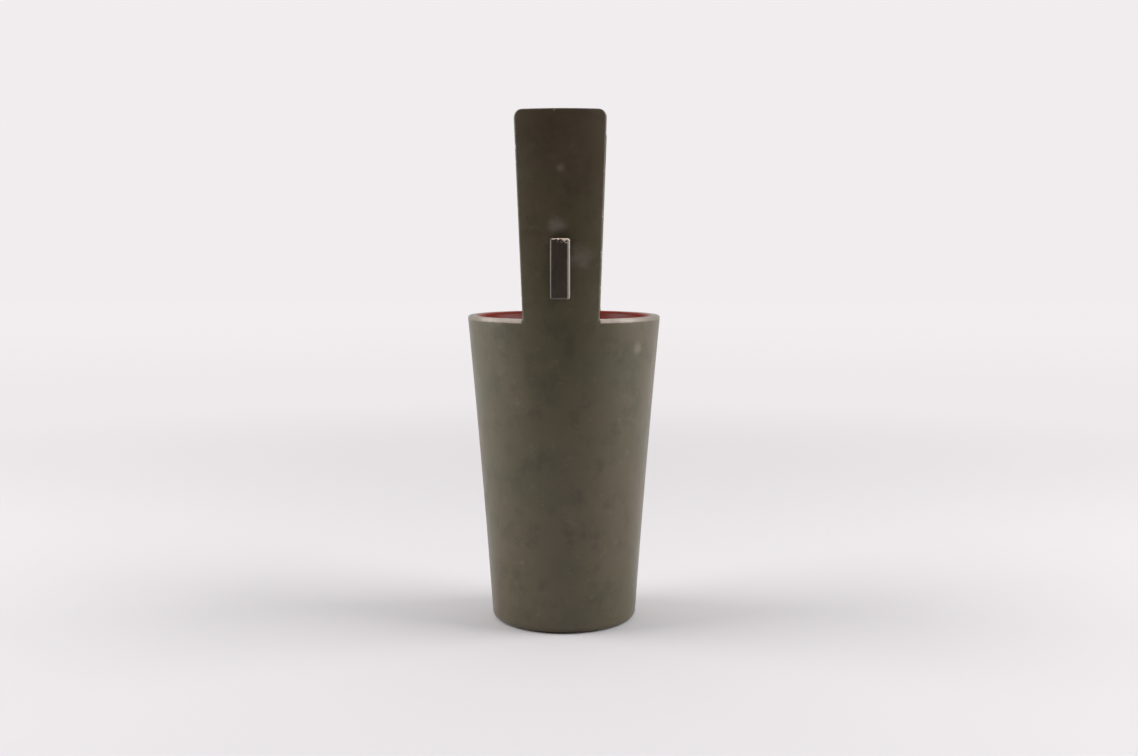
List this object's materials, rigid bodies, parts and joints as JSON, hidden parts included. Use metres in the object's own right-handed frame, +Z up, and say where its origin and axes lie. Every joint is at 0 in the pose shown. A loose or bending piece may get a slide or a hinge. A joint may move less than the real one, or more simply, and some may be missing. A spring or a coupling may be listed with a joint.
{
  "type": "wooden water pail",
  "caption": "Tall tapered pail of glued staves, lacquered olive outside and red inside, with raised lug staves and a flat crossbar handle tenoned through them.",
  "frame": {"origin": "on the ground, below the middle of the pail", "axes": "+Z up; the crossbar lies along Y, with the lug seen in the picture on the -Y side"},
  "size_m": [0.1496, 0.1796, 0.3895],
  "materials": {
    "stave_lacquer": "satin lacquer, dark olive brown outside and over the lugs, red on the inside of the pail, worn pale along the edges",
    "board_lacquer": "satin red lacquer above, dark lacquer below",
    "crossbar_lacquer": "satin dark lacquer, edges of the tenon ends worn to bare wood",
    "peg_bamboo": "split and whittled bamboo, unfinished"
  },
  "bodies": {
    "root": {"lug_stave_front": "stave_lacquer", "side_stave_right_1": "stave_lacquer", "side_stave_right_2": "stave_lacquer", "side_stave_right_3": "stave_lacquer", "side_stave_right_4": "stave_lacquer", "side_stave_right_5": "stave_lacquer", "side_stave_right_6": "stave_lacquer", "lug_stave_back": "stave_lacquer", "side_stave_left_1": "stave_lacquer", "side_stave_left_2": "stave_lacquer", "side_stave_left_3": "stave_lacquer", "side_stave_left_4": "stave_lacquer", "side_stave_left_5": "stave_lacquer", "side_stave_left_6": "stave_lacquer", "bottom_board": "board_lacquer", "crossbar": "crossbar_lacquer", "joint_peg_lower_01": "peg_bamboo", "joint_peg_upper_01": "peg_bamboo", "joint_peg_lower_02": "peg_bamboo", "joint_peg_upper_02": "peg_bamboo", "joint_peg_lower_03": "peg_bamboo", "joint_peg_upper_03": "peg_bamboo", "joint_peg_lower_04": "peg_bamboo", "joint_peg_upper_04": "peg_bamboo", "joint_peg_lower_05": "peg_bamboo", "joint_peg_upper_05": "peg_bamboo", "joint_peg_lower_06": "peg_bamboo", "joint_peg_upper_06": "peg_bamboo", "joint_peg_lower_07": "peg_bamboo", "joint_peg_upper_07": "peg_bamboo", "joint_peg_lower_08": "peg_bamboo", "joint_peg_upper_08": "peg_bamboo", "joint_peg_lower_09": "peg_bamboo", "joint_peg_upper_09": "peg_bamboo", "joint_peg_lower_10": "peg_bamboo", "joint_peg_upper_10": "peg_bamboo", "joint_peg_lower_11": "peg_bamboo", "joint_peg_upper_11": "peg_bamboo", "joint_peg_lower_12": "peg_bamboo", "joint_peg_upper_12": "peg_bamboo", "joint_peg_lower_13": "peg_bamboo", "joint_peg_upper_13": "peg_bamboo", "joint_peg_lower_14": "peg_bamboo", "joint_peg_upper_14": "peg_bamboo"}
  },
  "joints": []
}
